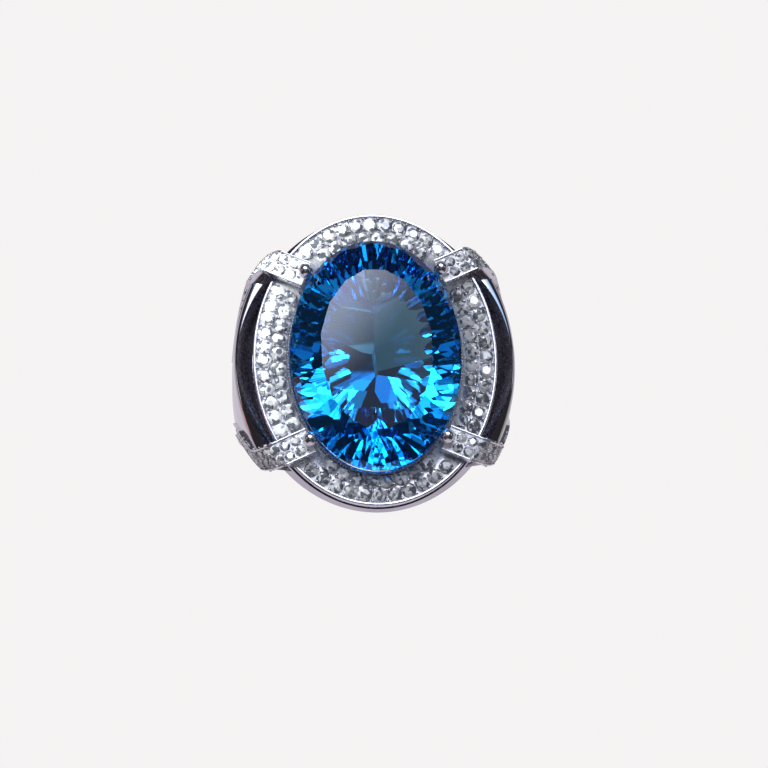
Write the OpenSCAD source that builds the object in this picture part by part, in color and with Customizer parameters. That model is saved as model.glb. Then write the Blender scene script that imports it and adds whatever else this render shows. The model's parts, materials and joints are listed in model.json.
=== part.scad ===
// Cocktail ring: a large oval stone in four ball prongs over a two-row pave halo, with four pave straps
// that cross the halo and run down the edges of tapered, polished shoulders.
// Millimetres. The origin is the centre of the finger bore, Y is the finger's axis, Z points to the stone.

/* [Finger bore and shank] */
// Radius of the finger bore
bore_r = 9.05; // [8.9:0.05:9.15]
// Wall of the shank at the back of the finger
shank_wall = 1.7; // [1.5:0.1:1.9]
// Wall of the thin arms that run up under the head
arm_wall = 1.05; // [0.95:0.05:1.1]
// Width of the shank at the back of the finger
shank_w = 4.6; // [4.0:0.1:5.0]
// Width of the shank where the shoulders stand on it
arm_w = 5.4; // [5.2:0.1:5.6]
// Angle above the horizontal at which the thin arms end
arm_angle = 52; // [50:1:54]

/* [Shoulders] */
// Length along the finger of the oval that the shoulders are bent to
shoulder_y = 23.8; // [23.6:0.1:24.0]
// Wall of the shoulders
shoulder_wall = 1.1; // [0.9:0.1:1.2]
// Half width of a shoulder at its foot
foot_y = 2.7; // [2.6:0.1:2.9]
// Half width of a shoulder half way up
mid_y = 5.3; // [5.1:0.1:5.5]
// Half width of a shoulder at the head
top_y = 8.5; // [8.4:0.1:8.6]

/* [Head] */
// Halo across the finger
halo_x = 18.6; // [18.4:0.1:18.7]
// Halo along the finger
halo_y = 23.0; // [22.9:0.1:23.1]
// Height of the halo's top face
halo_z = 14.1; // [14.0:0.1:14.2]
// Thickness of the pave plate
halo_t = 1.2; // [1.1:0.1:1.3]
// Width of the plain border wire round the halo
rim_w = 0.25; // [0.2:0.05:0.3]
// Gallery wall across the finger, at its rim
gallery_x = 20.4; // [20.3:0.1:20.5]
// Gallery wall along the finger, at its rim
gallery_y = 23.7; // [23.6:0.1:23.8]
// Height of the gallery's rim, of the ridges and of the straps' feet
rim_z = 13.3; // [13.2:0.1:13.4]

/* [Centre stone] */
// Stone across the finger
stone_x = 13; // [12.8:0.1:13]
// Stone along the finger
stone_y = 18; // [17.8:0.1:18]
// Height of the girdle's lower edge
girdle_z = 15.0; // [14.9:0.1:15.1]
// Depth of the pavilion
pavilion_h = 5.5; // [5.2:0.1:5.6]
// Height of the crown
crown_h = 1.6; // [1.4:0.1:1.8]
// Sides of the girdle and the table
stone_sides = 16; // [16:4:24]

/* [Straps and prongs] */
// Width of a strap
strap_w = 2.05; // [1.95:0.05:2.1]
// Thickness of a strap over the halo
strap_t = 0.85; // [0.8:0.05:0.9]
// Angle of a strap from the X axis
strap_angle = 23.5; // [23:0.5:24]
// Diameter of a prong's ball head
ball_d = 1.14; // [1.1:0.02:1.16]
// Diameter of a prong's wire
wire_d = 0.86; // [0.8:0.02:0.9]
// Height of each of the basket's two rings
basket_h = 0.8; // [0.7:0.1:0.9]
// Wall of the basket's rings
basket_wall = 0.8; // [0.7:0.1:0.9]

/* [Pave] */
// Diameter of the halo's stones
halo_stone_d = 1.04; // [0.98:0.02:1.06]
// Distance between neighbouring halo stones
halo_pitch = 1.13; // [1.12:0.01:1.16]
// Diameter of the straps' stones
strap_stone_d = 0.78; // [0.72:0.02:0.8]
// Distance between neighbouring strap stones
strap_pitch = 0.84; // [0.82:0.01:0.86]

/* [Hidden] */
$fn = 96;

silver = "#c9c7cc";
pave_silver = "#dcdce2";
melee_white = "#f2f8fb";
topaz_blue = "#0a7fd6";

// Flats round each oval wall
oval_sides = 96;
// Clearance of a seat round its stone or wire
seat_gap = 0.01;
// Greatest width across the polished shoulders, flush with the shank
shoulder_x = 2 * (bore_r + shank_wall);
// Radius of the surface that the arms and the base rail share
arm_r = bore_r + arm_wall;
// Radius of the surface that the base rail and the gallery share
rail_r = arm_r + 0.8;
// Basket's rings across and along the finger
basket_x = stone_x + 1;
basket_y = stone_y + 0.6;
// Length that passes right through the part
through = 60;
// Top and underside of a strap
strap_z0 = halo_z + 0.1;
strap_z1 = strap_z0 + strap_t;
// Underside of the halo plate
plate_z = halo_z - halo_t;
// Oval opening of the halo, under the edge of the stone
hole_x = stone_x;
hole_y = stone_y - 0.4;
// The dish that carries the halo's inner row: its two ovals and its depth
dish_in = [hole_x, hole_y];
dish_out = [16.0, 20.4];
dish_h = 0.45;
// How far below the halo's top the inner row's girdles lie, and how far that row leans inwards
dish_drop = 0.17;
dish_lean = 18;
// Oval that the straps and the shoulder borders are trimmed to
border_x = shoulder_x + 0.4;
border_y = 26;
// Lower end of the shoulder borders
border_z = 4.2;
// Where a prong stands, its foot, and the middle of its ball
prong_at = [5.17, 6.6];
prong_z0 = 10.6;
prong_z1 = strap_z1 + ball_d / 2;
// A point on a strap's centre line
strap_mid = [7, 7.34];
// Where a strap's centre line meets the outer face of its bend
strap_bend = [8.6, 8.04];
// How far a border stands out past the shoulder's edge, and how deep it is let into the shoulder
border_out = 0.25;
border_sink = 0.6;
// Lean of the borders from the upright, seen from the side
border_lean = 30;
// Height of the highest pave row on the borders, and the drop from row to row
border_row_z = rim_z - 0.6;
border_step = 0.78;

// Half width of a shoulder at a height
function edge_y(z) = lookup(z, [[0, foot_y], [4, foot_y + 0.2], [9, mid_y], [rim_z, top_y]]);
// Width of a shoulder border at a height
function border_w(z) = lookup(z, [[border_z, 1.0], [rim_z, 1.8]]);
// Unit vector of a strap's signed distance from its centre line, for positive x and y
function strap_side(p) = (p[1] - strap_mid[1]) * cos(strap_angle) - (p[0] - strap_mid[0]) * sin(strap_angle);
// How fast a point runs along the oval (a, b) per radian of its angle
function speed(a, b, t) = norm([a * sin(t), b * cos(t)]);
// Angle on the oval (a, b) reached from the angle t by walking the arc s in n steps
function walk(a, b, t, s, n = 48) =
    n == 0 ? t : walk(a, b, t + s / n / speed(a, b, t) * 180 / PI, s * (n - 1) / n, n - 1);
// Direction, seen from above, that the oval (a, b) faces at the angle t
function facing(a, b, t) = atan2(sin(t) / b, cos(t) / a);

// Corners of an oval x wide and y long
function oval_points(x, y) =
    [for (i = [0:oval_sides - 1]) let (t = i * 360 / oval_sides) [x / 2 * cos(t), y / 2 * sin(t)]];

// Straight oval cylinder, x wide and y long
module oval(x, y, z0, z1) {
    translate([0, 0, z0]) linear_extrude(height = z1 - z0) polygon(oval_points(x, y));
}

// Oval frustum from the size [x, y] at z0 to another at z1
module oval_cone(size0, size1, z0, z1) {
    n = oval_sides;
    points = concat([for (p = oval_points(size0[0], size0[1])) [p[0], p[1], z0]],
        [for (p = oval_points(size1[0], size1[1])) [p[0], p[1], z1]]);
    sides = [for (i = [0:n - 1]) [i, n + i, n + (i + 1) % n, (i + 1) % n]];
    polyhedron(points, concat([[for (i = [0:n - 1]) i]], [[for (i = [n - 1:-1:0]) n + i]], sides));
}

// Cylinder along the finger
module finger(r) {
    rotate([90, 0, 0]) cylinder(h = through, r = r, center = true);
}

// Outline in the Y-Z plane, run through the part along X
module side_profile(points) {
    rotate([90, 0, 90]) linear_extrude(height = through, center = true) polygon(points);
}

// Outline in the X-Z plane, run through the part along Y
module front_profile(points) {
    rotate([90, 0, 0]) linear_extrude(height = through, center = true) polygon(points);
}

// Half space on one side of the ring, sx = 1 for the right
module half(sx) {
    translate([sx * through / 2, 0, 0]) cube(through, center = true);
}

// Mirrors the right back corner to the corner with the signs sx and sy
module corner(sx, sy) {
    mirror([sx < 0 ? 1 : 0, 0, 0]) mirror([0, sy < 0 ? 1 : 0, 0]) children();
}

// Upright round wire of diameter d where a prong stands
module wire(d) {
    translate([prong_at[0], prong_at[1], prong_z0]) cylinder(h = prong_z1 - prong_z0, d = d);
}

// Round brilliant of diameter d, with its girdle's top edge at z = 0
module brilliant(d) {
    rotate_extrude() polygon([[0, -0.46 * d], [0.5 * d, -0.05 * d], [0.5 * d, 0], [0.29 * d, 0.15 * d], [0, 0.15 * d]]);
}

// Drilled seat for a brilliant of diameter d
module seat(d) {
    translate([0, 0, -0.5 * d]) cylinder(h = 2 * d, d = d + 2 * seat_gap);
}

// ---- Halo ----

// Places its children on every stone of one row in one quarter of the halo.
// t0 is the middle of the quarter, side is 1 for the ends of the oval and -1 for its flanks.
module halo_row(a, b, t0, side, shift, z, tilt) {
    margin = (strap_w + halo_stone_d) / 2 + 0.02;
    for (k = [-12:12]) {
        t = walk(a, b, t0, (k + shift) * halo_pitch);
        p = [a * cos(t), b * sin(t)];
        near = abs(k + shift) * halo_pitch < halo_y / 2;
        if (near && side * strap_side([abs(p[0]), abs(p[1])]) > margin)
            translate([p[0], p[1], z]) rotate([0, 0, facing(a, b, t)]) rotate([0, tilt, 0]) children();
    }
}

// Both rows in one quarter
module halo_quarter(t0, side) {
    outer = rim_w + 0.05 + halo_stone_d / 2;
    inner = outer + halo_stone_d + 0.04;
    halo_row(halo_x / 2 - outer, halo_y / 2 - outer, t0, side, 0, halo_z, 0) children();
    halo_row(halo_x / 2 - inner, halo_y / 2 - inner, t0, side, 0.5, halo_z - dish_drop, -dish_lean) children();
}

module halo_plate() {
    color(pave_silver) difference() {
        oval(halo_x - 2 * rim_w, halo_y - 2 * rim_w, plate_z, halo_z);
        oval(hole_x + 0.4, hole_y + 0.4, plate_z - 1, halo_z + 1);
        oval_cone(dish_in, dish_out, halo_z - dish_h, halo_z);
        for (t0 = [90, 270]) halo_quarter(t0, 1) seat(halo_stone_d);
        for (t0 = [0, 180]) halo_quarter(t0, -1) seat(halo_stone_d);
        prongs_cut();
    }
}

module halo_rim() {
    color(silver) difference() {
        oval(halo_x, halo_y, plate_z, strap_z0);
        oval(halo_x - 2 * rim_w, halo_y - 2 * rim_w, plate_z - 1, halo_z + 1);
    }
}

module milgrain_ring() {
    color(silver) difference() {
        oval(hole_x + 0.4, hole_y + 0.4, plate_z, halo_z - 0.35);
        oval(hole_x, hole_y, plate_z - 1, halo_z + 1);
        prongs_cut();
    }
}

module halo_stones(t0, side) {
    color(melee_white) halo_quarter(t0, side) brilliant(halo_stone_d);
}

// ---- Shank, shoulders and gallery ----

module shank() {
    reach = 2 * arm_r;
    color(silver) difference() {
        intersection() {
            union() {
                intersection() {
                    finger(bore_r + shank_wall);
                    translate([0, 0, -through / 2]) cube(through, center = true);
                }
                finger(arm_r);
            }
            side_profile([[-shank_w / 2, -through / 2], [shank_w / 2, -through / 2], [shank_w / 2, -bore_r],
                [arm_w / 2, 0], [arm_w / 2, reach], [-arm_w / 2, reach], [-arm_w / 2, 0], [-shank_w / 2, -bore_r]]);
            front_profile([[0, 0], [reach * cos(arm_angle), reach * sin(arm_angle)], [reach, reach], [reach, -reach],
                [-reach, -reach], [-reach, reach], [-reach * cos(arm_angle), reach * sin(arm_angle)]]);
        }
        finger(bore_r);
    }
}

// Outline of one shoulder seen from its side
module shoulder_outline() {
    heights = [0, 4, 9, rim_z];
    side_profile(concat([for (z = heights) [edge_y(z), z]], [for (i = [3:-1:0]) [-edge_y(heights[i]), heights[i]]]));
}

module gallery_cone() {
    oval_cone([gallery_x - 5, gallery_y - 5.4], [gallery_x, gallery_y], rim_z - 6.3, rim_z);
}

module shoulder(sx) {
    color(silver) difference() {
        intersection() {
            half(sx);
            oval(shoulder_x, shoulder_y, 0, rim_z);
            shoulder_outline();
        }
        oval(shoulder_x - 2 * shoulder_wall, shoulder_y - 2 * shoulder_wall, -1, rim_z + 1);
        finger(arm_r);
        gallery_cone();
        for (sy = [-1, 1]) corner(sx, sy) border_blank();
    }
}

module base_rail() {
    color(silver) difference() {
        intersection() {
            oval(16.8, 21.4, 0, rim_z);
            finger(rail_r);
        }
        oval(14.6, 19.2, -1, rim_z + 1);
        finger(arm_r);
    }
}

module gallery() {
    color(silver) difference() {
        gallery_cone();
        oval_cone([gallery_x - 6.8, gallery_y - 7.2], [gallery_x - 2.6, gallery_y - 2.6], rim_z - 6.4, rim_z + 0.1);
        oval(halo_x, halo_y, plate_z, rim_z + 1);
        oval_cone([halo_x - 0.1, halo_y - 0.1], [gallery_x - 0.1, gallery_y - 0.1], plate_z, rim_z + 0.01);
        finger(rail_r);
    }
}

// ---- Setting of the centre stone ----

// Prong wires with a little clearance, to cut their notches
module prongs_cut() {
    for (sx = [-1, 1], sy = [-1, 1]) corner(sx, sy) wire(wire_d + 2 * seat_gap);
}

module basket() {
    color(silver) difference() {
        for (z = [prong_z0, plate_z - basket_h])
            oval(basket_x, basket_y, z, z + basket_h);
        oval(basket_x - 2 * basket_wall, basket_y - 2 * basket_wall, prong_z0 - 1, plate_z + 1);
        prongs_cut();
    }
}

module prong(sx, sy) {
    color(silver) corner(sx, sy) {
        wire(wire_d);
        translate([prong_at[0], prong_at[1], prong_z1]) sphere(d = ball_d);
    }
}

// Points of one level of the stone: sides points on the oval (a, b) at the height z
function level(a, b, z, turn) =
    [for (i = [0:stone_sides - 1]) let (t = (i + turn) * 360 / stone_sides) [a * cos(t), b * sin(t), z]];

// Oval mixed cut: table, crown, girdle and two pavilion steps
module centre_stone() {
    n = stone_sides;
    levels = [
        level(stone_x * 0.325, stone_y * 0.35, girdle_z + 0.3 + crown_h, 0.5),
        level(stone_x / 2, stone_y / 2, girdle_z + 0.3, 0),
        level(stone_x / 2, stone_y / 2, girdle_z, 0),
        level(stone_x * 0.31, stone_y * 0.33, girdle_z - pavilion_h * 0.55, 0.5)];
    tip = [[0, 0, girdle_z - pavilion_h]];
    points = concat(levels[0], levels[1], levels[2], levels[3], tip);
    color(topaz_blue) polyhedron(points, concat(
        [[for (i = [n - 1:-1:0]) i]],
        [for (i = [0:n - 1]) [i, (i + 1) % n, n + (i + 1) % n]],
        [for (i = [0:n - 1]) [i, n + (i + 1) % n, n + i]],
        [for (i = [0:n - 1]) [n + i, n + (i + 1) % n, 2 * n + (i + 1) % n, 2 * n + i]],
        [for (i = [0:n - 1]) [2 * n + i, 2 * n + (i + 1) % n, 3 * n + i]],
        [for (i = [0:n - 1]) [2 * n + (i + 1) % n, 3 * n + (i + 1) % n, 3 * n + i]],
        [for (i = [0:n - 1]) [3 * n + i, 3 * n + (i + 1) % n, 4 * n]]));
}

// ---- Straps and shoulder borders, drawn for the right back corner ----

// Moves its children to the strap's middle, with X along the strap
module on_strap() {
    translate([strap_mid[0], strap_mid[1], 0]) rotate([0, 0, strap_angle]) children();
}

// Places its children on every stone of a strap, the bend included
module strap_rows() {
    for (i = [0:2], v = [-1, 1])
        on_strap() translate([i * strap_pitch - 0.98, v * strap_pitch / 2, strap_z1]) children();
    for (v = [-1, 1])
        translate([strap_bend[0], strap_bend[1], rim_z + 0.52])
            rotate([0, 0, atan2(strap_bend[1] / pow(border_y, 2), strap_bend[0] / pow(border_x, 2))])
            translate([0, v * strap_pitch / 2, 0]) rotate([0, 90, 0]) children();
}

module strap(sx, sy) {
    color(pave_silver) corner(sx, sy) difference() {
        intersection() {
            on_strap() translate([-4, -strap_w / 2, rim_z]) cube([8, strap_w, strap_z1 - rim_z]);
            oval(border_x, border_y, rim_z - 1, strap_z1 + 1);
            oval_cone([border_x + 2, border_y + 2], [border_x - 2, border_y - 2], strap_z1 - 1.5, strap_z1 + 0.5);
        }
        oval(halo_x, halo_y, rim_z - 1, strap_z0);
        oval(stone_x + 0.3, stone_y + 0.3, rim_z - 1, strap_z1 + 1);
        strap_rows() seat(strap_stone_d);
        wire(wire_d + 2 * seat_gap);
    }
}

module strap_stones(sx, sy) {
    color(melee_white) corner(sx, sy) strap_rows() brilliant(strap_stone_d);
}

// Point on the face of a border at a height, moved across the border from its centre line
function border_point(z, across = 0) =
    let (y = edge_y(z) + border_out - border_w(z) / 2 + across * cos(border_lean))
    [border_x / 2 * sqrt(1 - pow(2 * y / border_y, 2)), y, z - across * sin(border_lean)];

// Solid of one shoulder border, before its seats are drilled
module border_blank() {
    heights = [border_z, 9, rim_z];
    difference() {
        intersection() {
            oval(border_x, border_y, border_z, rim_z);
            half(1);
            side_profile(concat([for (z = heights) [edge_y(z) + border_out, z]],
                [for (i = [2:-1:0]) [edge_y(heights[i]) + border_out - border_w(heights[i]), heights[i]]]));
        }
        oval(shoulder_x - 2 * border_sink, shoulder_y - 2 * border_sink, -1, rim_z + 1);
    }
}

// Places its children on every stone of a border: rows of two, then a single file that gets smaller
module border_rows() {
    for (i = [0:2], v = [-1, 1]) {
        p = border_point(border_row_z - i * border_step, v * strap_pitch * 0.465);
        translate(p) rotate([0, 90, atan2(p[1] / pow(border_y, 2), p[0] / pow(border_x, 2))])
            children(0);
    }
    for (i = [3:7]) {
        p = border_point(border_row_z - 0.05 - i * border_step);
        translate(p) rotate([0, 90, atan2(p[1] / pow(border_y, 2), p[0] / pow(border_x, 2))])
            children(1);
    }
}

module border(sx, sy) {
    color(pave_silver) corner(sx, sy) difference() {
        border_blank();
        border_rows() {
            seat(strap_stone_d * 0.92);
            seat(strap_stone_d * 0.85);
        }
    }
}

module border_stones(sx, sy) {
    color(melee_white) corner(sx, sy) border_rows() {
        brilliant(strap_stone_d * 0.92);
        brilliant(strap_stone_d * 0.85);
    }
}

shank();
shoulder(1);  // shoulder_right
shoulder(-1);  // shoulder_left
base_rail();
gallery();
halo_plate();
halo_rim();
milgrain_ring();
basket();
centre_stone();
strap(1, -1);  // strap_front_right
strap(-1, -1);  // strap_front_left
strap(1, 1);  // strap_back_right
strap(-1, 1);  // strap_back_left
border(1, -1);  // border_front_right
border(-1, -1);  // border_front_left
border(1, 1);  // border_back_right
border(-1, 1);  // border_back_left
prong(1, -1);  // prong_front_right
prong(-1, -1);  // prong_front_left
prong(1, 1);  // prong_back_right
prong(-1, 1);  // prong_back_left
halo_stones(270, 1);  // halo_stones_front
halo_stones(0, -1);  // halo_stones_right
halo_stones(90, 1);  // halo_stones_back
halo_stones(180, -1);  // halo_stones_left
strap_stones(1, -1);  // strap_stones_front_right
strap_stones(-1, -1);  // strap_stones_front_left
strap_stones(1, 1);  // strap_stones_back_right
strap_stones(-1, 1);  // strap_stones_back_left
border_stones(1, -1);  // border_stones_front_right
border_stones(-1, -1);  // border_stones_front_left
border_stones(1, 1);  // border_stones_back_right
border_stones(-1, 1);  // border_stones_back_left
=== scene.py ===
"""Looks of the cocktail ring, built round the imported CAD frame.

The ring's own sizes are in millimetres here and are read from the frame's boxes; meshes are made in metres.
X runs across the shank, Y along the finger and Z from the finger's centre to the stone.
"""

import json
import math
import random

import bmesh
import bpy
from mathutils import Matrix, Vector


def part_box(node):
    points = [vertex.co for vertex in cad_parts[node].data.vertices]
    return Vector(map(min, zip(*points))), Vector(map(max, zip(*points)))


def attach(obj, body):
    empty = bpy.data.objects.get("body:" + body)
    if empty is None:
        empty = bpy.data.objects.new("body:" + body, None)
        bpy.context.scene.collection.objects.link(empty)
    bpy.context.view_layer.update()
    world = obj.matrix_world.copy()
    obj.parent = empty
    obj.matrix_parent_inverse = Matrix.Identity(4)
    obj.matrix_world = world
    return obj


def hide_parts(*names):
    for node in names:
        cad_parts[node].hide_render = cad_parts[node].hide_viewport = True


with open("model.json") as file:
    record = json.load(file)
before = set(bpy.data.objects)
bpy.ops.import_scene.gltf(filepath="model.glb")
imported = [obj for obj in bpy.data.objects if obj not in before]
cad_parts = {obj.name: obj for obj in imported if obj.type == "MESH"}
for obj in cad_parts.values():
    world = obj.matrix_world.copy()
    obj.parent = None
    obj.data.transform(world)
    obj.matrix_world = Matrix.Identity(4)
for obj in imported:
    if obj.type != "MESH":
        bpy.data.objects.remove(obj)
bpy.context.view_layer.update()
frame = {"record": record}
scene = bpy.context.scene

MM = 0.001
chance = random.Random(7)
CORNERS = {"front_right": (1, -1), "front_left": (-1, -1), "back_right": (1, 1), "back_left": (-1, 1)}
SIDES = {"front": (270, 1), "right": (0, -1), "back": (90, 1), "left": (180, -1)}


# ---- Sizes, in millimetres, from the frame ----


def box_mm(node):
    """Lowest and highest corner of a CAD node."""
    lo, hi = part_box(node)
    return lo / MM, hi / MM


BORE_R = frame["record"]["mounts"][0]["dims"]["r_mm"]
SHANK_LO, SHANK_HI = box_mm("shank")
SHANK_R = -SHANK_LO.z
ARM_W = SHANK_HI.y
SHANK_W = 2.3
ARM_R = BORE_R + 1.05
PLATE_LO, PLATE_HI = box_mm("halo_plate")
RIM_HI = box_mm("halo_rim")[1]
HALO_X, HALO_Y = RIM_HI.x, RIM_HI.y
HALO_Z, PLATE_Z = PLATE_HI.z, PLATE_LO.z
RIM_W = HALO_X - PLATE_HI.x
STONE_LO, STONE_HI = box_mm("centre_stone")
HOLE_X, HOLE_Y = STONE_HI.x, STONE_HI.y - 0.2
GAL_X, GAL_Y, RIM_Z = box_mm("gallery")[1]
BASKET_LO, BASKET_HI = box_mm("basket")
BASKET_WALL = 0.8
PRONG_LO, PRONG_HI = box_mm("prong_back_right")
PRONG_AT = (PRONG_LO + PRONG_HI) / 2
BALL_D = PRONG_HI.x - PRONG_LO.x
WIRE_D = 0.86

# Shoulders. The walls are oval in plan, of half length SHOULDER_Y along the finger.
SHOULDER_Y = 12.9
CHEEK_R = SHANK_R + 0.15
CHEEK_TOP_R = SHANK_R
RIDGE_R = SHANK_R - 0.22
CHEEK_TOP = RIM_Z - 0.4
CHEEK_STEPS = 56
WALL_STEPS = 26
COVE_STEPS = 14
COVE_LINER = 0.2

# Halo stones and their seats. The inner row sits lower and leans towards the centre stone.
HALO_STONE = 1.04
HALO_BRILLIANT = 1.09
HALO_PITCH = 1.13
DISH_DROP = 0.17
DISH_LEAN = math.radians(18)
BED_DEPTH = 0.14
OUTER_ROW = RIM_W + 0.05 + HALO_STONE / 2
INNER_ROW = OUTER_ROW + HALO_STONE + 0.04

# Straps and shoulder borders, given for the back right corner.
STRAP_TOP = box_mm("strap_back_right")[1].z
STRAP_W = 2.05
STRAP_ANGLE = math.radians(23.5)
STRAP_MID = Vector((7.0, 7.34, 0))
BORDER_X, BORDER_Y = SHANK_R + 0.35, 13.15
BORDER_Z = box_mm("border_back_right")[0].z
BORDER_LEAN = math.radians(30)
BORDER_OUT = 0.25
TOP_STEPS, BEND_STEPS, SIDE_STEPS = 10, 14, 36
PAIR_AT, PAIR_STONE, PAIR_PITCH = 0.42, 0.81, 0.86
SINGLE_STONE, SINGLE_PITCH = 0.76, 0.82

# Centre stone. Crown and pavilion facets are given by their number round the stone.
GIRDLE_HI, GIRDLE_LO = STONE_HI.z - 1.6, STONE_HI.z - 1.9
WAIST = (STONE_HI.x - 1.75, STONE_HI.y - 1.75)
WAIST_Z = GIRDLE_LO - 1.95
BLANK_SIDES, BEZELS, UPPER_GIRDLES, FLUTES, KEEL_FACETS = 96, 16, 32, 36, 20
FLUTE_DEPTH = 0.16


def lookup(z, table):
    """Straight-line lookup of z in a list of (z, value)."""
    if z <= table[0][0]:
        return table[0][1]
    for (z0, v0), (z1, v1) in zip(table, table[1:]):
        if z <= z1:
            return v0 + (v1 - v0) * (z - z0) / (z1 - z0)
    return table[-1][1]


def edge_y(z):
    """Half width of a shoulder at a height."""
    return lookup(z, [(0, 2.7), (4, 2.9), (9, 5.3), (RIM_Z, 8.5)])


def border_w(z):
    """Width of a shoulder border at a height."""
    return lookup(z, [(BORDER_Z, 1.0), (RIM_Z, 1.8)])


def strap_side(x, y):
    """Signed distance from a strap's centre line, in the back right quarter."""
    return (y - STRAP_MID.y) * math.cos(STRAP_ANGLE) - (x - STRAP_MID.x) * math.sin(STRAP_ANGLE)


# ---- Mesh helpers ----


def make(name, verts, faces, material, nodes=(), smooth=True):
    """A piece from points in millimetres. It rides on the ring's one body."""
    mesh = bpy.data.meshes.new(name)
    mesh.from_pydata([Vector(v) * MM for v in verts], [], faces)
    mesh.validate()
    bm = bmesh.new()
    bm.from_mesh(mesh)
    bmesh.ops.recalc_face_normals(bm, faces=bm.faces)
    bm.to_mesh(mesh)
    bm.free()
    for p in mesh.polygons:
        p.use_smooth = smooth
    mesh.materials.append(material)
    piece = bpy.data.objects.new(name, mesh)
    scene.collection.objects.link(piece)
    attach(piece, "root")
    if nodes:
        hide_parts(*nodes)
    return piece


def by_angle(piece, degrees):
    """Shades a piece smooth, with hard edges where it turns by more than an angle."""
    bm = bmesh.new()
    bm.from_mesh(piece.data)
    limit = math.radians(degrees)
    for e in bm.edges:
        e.smooth = len(e.link_faces) == 2 and e.calc_face_angle(0) < limit
    for f in bm.faces:
        f.smooth = True
    bm.to_mesh(piece.data)
    bm.free()


def rounded(corners, radius, steps=4):
    """A closed outline with its corners rounded. radius is one number or one for each corner."""
    n = len(corners)
    radii = radius if isinstance(radius, (list, tuple)) else [radius] * n
    out = []
    for i, p in enumerate(corners):
        p, a, b = Vector(p), Vector(corners[i - 1]), Vector(corners[(i + 1) % n])
        if radii[i] == 0:
            out.append(p)
            continue
        ra, rb = min(radii[i], (a - p).length * 0.48), min(radii[i], (b - p).length * 0.48)
        start, end = p + (a - p).normalized() * ra, p + (b - p).normalized() * rb
        for k in range(steps + 1):
            t = k / steps
            out.append(start * (1 - t) ** 2 + p * 2 * t * (1 - t) + end * t * t)
    return out


def oval_loft(name, rings, material, nodes=(), sides=240):
    """A closed oval ring from a closed list of its sections' ovals (half width, half length, height)."""
    verts, faces = [], []
    for a, b, z in rings:
        for i in range(sides):
            t = 2 * math.pi * i / sides
            verts.append((a * math.cos(t), b * math.sin(t), z))
    n = len(rings)
    for r in range(n):
        for i in range(sides):
            j, q = (i + 1) % sides, (r + 1) % n
            faces.append((r * sides + i, r * sides + j, q * sides + j, q * sides + i))
    return make(name, verts, faces, material, nodes)


def sections(name, loops, material, nodes=(), angle=35):
    """A solid through a list of closed loops with the same number of points, capped at both ends."""
    n = len(loops[0])
    verts = [p for loop in loops for p in loop]
    faces = [tuple(range(n)), tuple(range((len(loops) - 1) * n, len(loops) * n))]
    for r in range(len(loops) - 1):
        for i in range(n):
            j = (i + 1) % n
            faces.append((r * n + i, r * n + j, (r + 1) * n + j, (r + 1) * n + i))
    piece = make(name, verts, faces, material, nodes)
    by_angle(piece, angle)
    return piece


def copies(name, shape, places, material, nodes=(), smooth=False):
    """One piece made of copies of a shape (points, faces), one for each matrix in places."""
    points, polygons = shape
    verts, faces = [], []
    for m in places:
        base = len(verts)
        verts += [m @ Vector(p) for p in points]
        faces += [tuple(base + i for i in f) for f in polygons]
    return make(name, verts, faces, material, nodes, smooth)


def carve(piece, shape, places, crossing=False):
    """Cuts copies of a closed shape out of a piece. crossing says that the copies cross one another."""
    cutter = copies("cutter", shape, places, piece.data.materials[0])
    mod = piece.modifiers.new("seats", "BOOLEAN")
    mod.operation = "DIFFERENCE"
    mod.solver = "EXACT"
    mod.use_self = crossing
    mod.object = cutter
    bpy.context.view_layer.update()
    cut = bpy.data.meshes.new_from_object(piece.evaluated_get(bpy.context.evaluated_depsgraph_get()))
    piece.modifiers.clear()
    old, piece.data = piece.data, cut
    bpy.data.meshes.remove(old)
    mesh = cutter.data
    bpy.data.objects.remove(cutter)
    bpy.data.meshes.remove(mesh)
    by_angle(piece, 35)


def lathe(profile, sides=24):
    """Points and faces of a closed shape turned about Z. The profile runs from the axis to the axis."""
    verts, faces, rows = [], [], []
    for r, z in profile:
        if r == 0:
            rows.append([len(verts)])
            verts.append((0, 0, z))
        else:
            rows.append(list(range(len(verts), len(verts) + sides)))
            verts += [(r * math.cos(2 * math.pi * i / sides), r * math.sin(2 * math.pi * i / sides), z)
                      for i in range(sides)]
    for a, b in zip(rows, rows[1:]):
        for i in range(sides):
            j = (i + 1) % sides
            if len(a) == 1 and len(b) > 1:
                faces.append((a[0], b[i], b[j]))
            elif len(b) == 1 and len(a) > 1:
                faces.append((a[i], a[j], b[0]))
            elif len(a) > 1:
                faces.append((a[i], a[j], b[j], b[i]))
    return verts, faces


# ---- Materials ----


def new_material(name):
    """A material with its node tree and its shader."""
    material = bpy.data.materials.new(name)
    material.use_nodes = True
    return material, material.node_tree, material.node_tree.nodes["Principled BSDF"]


def noise(tree, scale, detail=3.0):
    """Noise over the piece's own place in the ring, in cells per millimetre."""
    where = tree.nodes.new("ShaderNodeTexCoord")
    tex = tree.nodes.new("ShaderNodeTexNoise")
    tex.inputs["Scale"].default_value = scale / MM
    tex.inputs["Detail"].default_value = detail
    tree.links.new(where.outputs["Object"], tex.inputs["Vector"])
    return tex.outputs["Fac"]


def spread(tree, value, low, high, target):
    """Maps a 0 to 1 value to low to high and links it."""
    node = tree.nodes.new("ShaderNodeMapRange")
    node.inputs["From Min"].default_value = 0.3
    node.inputs["From Max"].default_value = 0.7
    node.inputs["To Min"].default_value = low
    node.inputs["To Max"].default_value = high
    tree.links.new(value, node.inputs["Value"])
    tree.links.new(node.outputs["Result"], target)


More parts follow.
